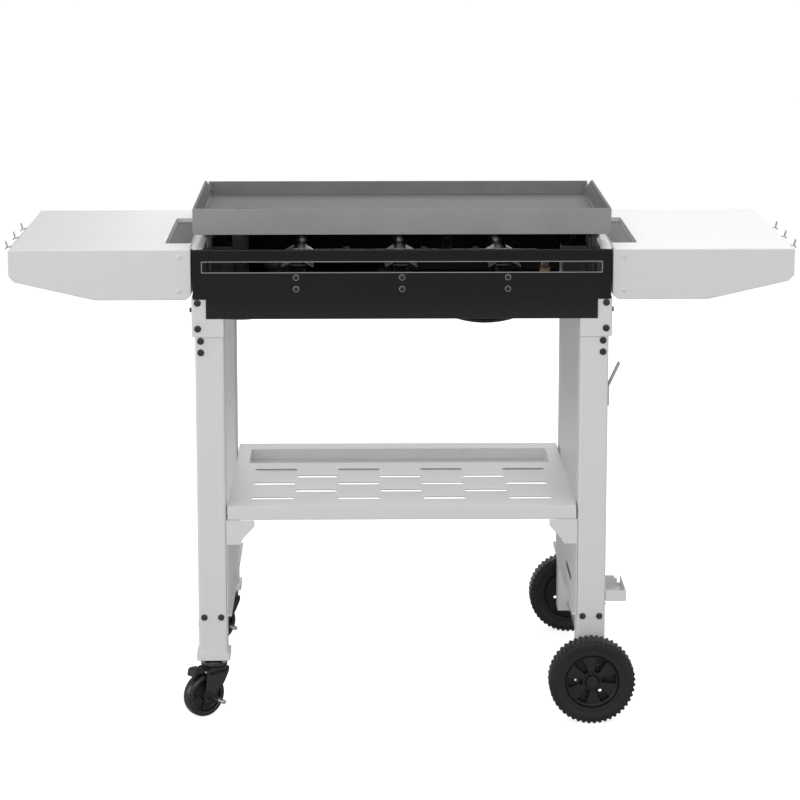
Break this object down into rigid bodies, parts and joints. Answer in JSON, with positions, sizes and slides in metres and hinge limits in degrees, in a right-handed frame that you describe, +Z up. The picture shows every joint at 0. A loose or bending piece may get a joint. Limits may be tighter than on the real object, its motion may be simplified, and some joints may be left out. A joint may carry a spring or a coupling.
{
  "type": "flat top griddle",
  "caption": "Gas flat top griddle on a wheeled stand: walled steel plate over tube burners, side shelves with tool hooks, slotted bottom shelf, casters and road wheels.",
  "frame": {"origin": "on the floor under the middle of the stand", "axes": "+X to the right seen from the rear, along the longest side; +Y towards the cook, who stands at the control panel; +Z up"},
  "size_m": [1.4076, 0.605, 0.9265],
  "materials": {
    "griddle_steel": "rolled steel plate, oiled, dark grey satin",
    "black_enamel": "black powder coat, satin",
    "white_coat": "white powder coat, satin with a fine orange peel",
    "stainless": "brushed stainless steel, slightly heat tinted",
    "galvanised": "zinc coated sheet, dull",
    "zinc_plate": "bright zinc plating",
    "brass": "turned brass",
    "cast_zinc": "die cast, painted grey",
    "black_plastic": "moulded black plastic, matt",
    "wheel_plastic": "blow moulded black plastic with a tread, matt",
    "caster_tread": "black caster wheel, slightly glossy",
    "caster_steel": "black coated pressed steel",
    "hose_rubber": "smooth black rubber hose",
    "red_plastic": "red push button"
  },
  "bodies": {
    "stand": {"rear_panel": "black_enamel", "control_panel": "black_enamel", "left_end_panel": "white_coat", "right_end_panel": "white_coat", "heat_shield": "black_enamel", "gas_manifold": "zinc_plate", "igniter_housing": "black_plastic", "hose_nut": "brass", "gas_hose": "hose_rubber", "regulator": "cast_zinc", "grease_cup_hanger": "galvanised", "bottom_shelf": "white_coat", "bottle_hook": "zinc_plate", "bottle_tray": "white_coat", "wheel_axle": "zinc_plate", "rear_axle_nut": "caster_steel", "front_axle_nut": "caster_steel", "left_burner": "stainless", "left_gas_valve": "brass", "middle_burner": "stainless", "middle_gas_valve": "brass", "right_burner": "stainless", "right_gas_valve": "brass", "left_side_shelf": "white_coat", "left_hook_rail": "zinc_plate", "left_lower_panel": "white_coat", "rear_left_leg": "white_coat", "rear_left_corner_bracket": "white_coat", "front_left_leg": "white_coat", "front_left_corner_bracket": "white_coat", "right_side_shelf": "white_coat", "right_hook_rail": "zinc_plate", "right_lower_panel": "white_coat", "rear_right_leg": "white_coat", "rear_right_corner_bracket": "white_coat", "front_right_leg": "white_coat", "front_right_corner_bracket": "white_coat", "rear_caster_head": "caster_steel", "front_caster_head": "caster_steel"},
    "plate": {"griddle_plate": "griddle_steel"},
    "igniter_push_button": {"igniter_button": "red_plastic"},
    "cup": {"grease_cup": "stainless"},
    "bottle_nut": {"regulator_nut": "black_plastic"},
    "left_stem": {"left_valve_stem": "brass"},
    "left_knob": {"left_control_knob": "black_plastic"},
    "middle_stem": {"middle_valve_stem": "brass"},
    "middle_knob": {"middle_control_knob": "black_plastic"},
    "right_stem": {"right_valve_stem": "brass"},
    "right_knob": {"right_control_knob": "black_plastic"},
    "rear_caster_swivel_fork": {"rear_caster_fork": "caster_steel", "rear_caster_bolt": "zinc_plate"},
    "rear_caster_roller": {"rear_caster_wheel": "caster_tread"},
    "rear_brake_pedal": {"rear_caster_brake": "black_plastic"},
    "rear_road_wheel": {"rear_wheel": "wheel_plastic"},
    "front_caster_swivel_fork": {"front_caster_fork": "caster_steel", "front_caster_bolt": "zinc_plate"},
    "front_caster_roller": {"front_caster_wheel": "caster_tread"},
    "front_brake_pedal": {"front_caster_brake": "black_plastic"},
    "front_road_wheel": {"front_wheel": "wheel_plastic"}
  },
  "joints": [
    {"name": "plate_lift", "type": "slide", "parent": "stand", "child": "plate", "axis": [0, 0, 1], "range_m": [0, 0.15]},
    {"name": "left_knob_push", "type": "slide", "parent": "stand", "child": "left_stem", "axis": [0, -1, 0], "range_m": [0, 0.004], "stiffness_N_per_m": 800, "springref_m": -0.002},
    {"name": "left_knob_turn", "type": "hinge", "parent": "left_stem", "child": "left_knob", "pos_m": [-0.186, 0.2695, 0.792], "axis": [0, 1, 0], "range_deg": [0, 210]},
    {"name": "middle_knob_push", "type": "slide", "parent": "stand", "child": "middle_stem", "axis": [0, -1, 0], "range_m": [0, 0.004], "stiffness_N_per_m": 800, "springref_m": -0.002},
    {"name": "middle_knob_turn", "type": "hinge", "parent": "middle_stem", "child": "middle_knob", "pos_m": [0, 0.2695, 0.792], "axis": [0, 1, 0], "range_deg": [0, 210]},
    {"name": "right_knob_push", "type": "slide", "parent": "stand", "child": "right_stem", "axis": [0, -1, 0], "range_m": [0, 0.004], "stiffness_N_per_m": 800, "springref_m": -0.002},
    {"name": "right_knob_turn", "type": "hinge", "parent": "right_stem", "child": "right_knob", "pos_m": [0.186, 0.2695, 0.792], "axis": [0, 1, 0], "range_deg": [0, 210]},
    {"name": "igniter_press", "type": "slide", "parent": "stand", "child": "igniter_push_button", "axis": [0, -1, 0], "range_m": [0, 0.004], "stiffness_N_per_m": 1500, "springref_m": -0.002},
    {"name": "grease_cup_slide", "type": "slide", "parent": "stand", "child": "cup", "axis": [-1, 0, 0], "range_m": [0, 0.12]},
    {"name": "regulator_nut_turn", "type": "hinge", "parent": "stand", "child": "bottle_nut", "pos_m": [-0.276, 0.232, 0.7507], "axis": [1, 0, 0], "continuous": true},
    {"name": "rear_caster_swivel", "type": "hinge", "parent": "stand", "child": "rear_caster_swivel_fork", "pos_m": [-0.3395, -0.227, 0.0888], "axis": [0, 0, 1], "continuous": true},
    {"name": "rear_caster_roll", "type": "hinge", "parent": "rear_caster_swivel_fork", "child": "rear_caster_roller", "pos_m": [-0.35789, -0.24243, 0.04], "axis": [-0.6428, 0.766, 0], "continuous": true},
    {"name": "rear_brake_press", "type": "hinge", "parent": "rear_caster_swivel_fork", "child": "rear_brake_pedal", "pos_m": [-0.36325, -0.24693, 0.086], "axis": [0.6428, -0.766, 0], "range_deg": [0, 14]},
    {"name": "rear_wheel_roll", "type": "hinge", "parent": "stand", "child": "rear_road_wheel", "pos_m": [0.3395, -0.2625, 0.0775], "axis": [0, 1, 0], "continuous": true},
    {"name": "front_caster_swivel", "type": "hinge", "parent": "stand", "child": "front_caster_swivel_fork", "pos_m": [-0.3395, 0.227, 0.0888], "axis": [0, 0, 1], "continuous": true},
    {"name": "front_caster_roll", "type": "hinge", "parent": "front_caster_swivel_fork", "child": "front_caster_roller", "pos_m": [-0.35789, 0.21157, 0.04], "axis": [-0.6428, 0.766, 0], "continuous": true},
    {"name": "front_brake_press", "type": "hinge", "parent": "front_caster_swivel_fork", "child": "front_brake_pedal", "pos_m": [-0.36325, 0.20707, 0.086], "axis": [0.6428, -0.766, 0], "range_deg": [0, 14]},
    {"name": "front_wheel_roll", "type": "hinge", "parent": "stand", "child": "front_road_wheel", "pos_m": [0.3395, 0.2625, 0.0775], "axis": [0, 1, 0], "continuous": true}
  ]
}
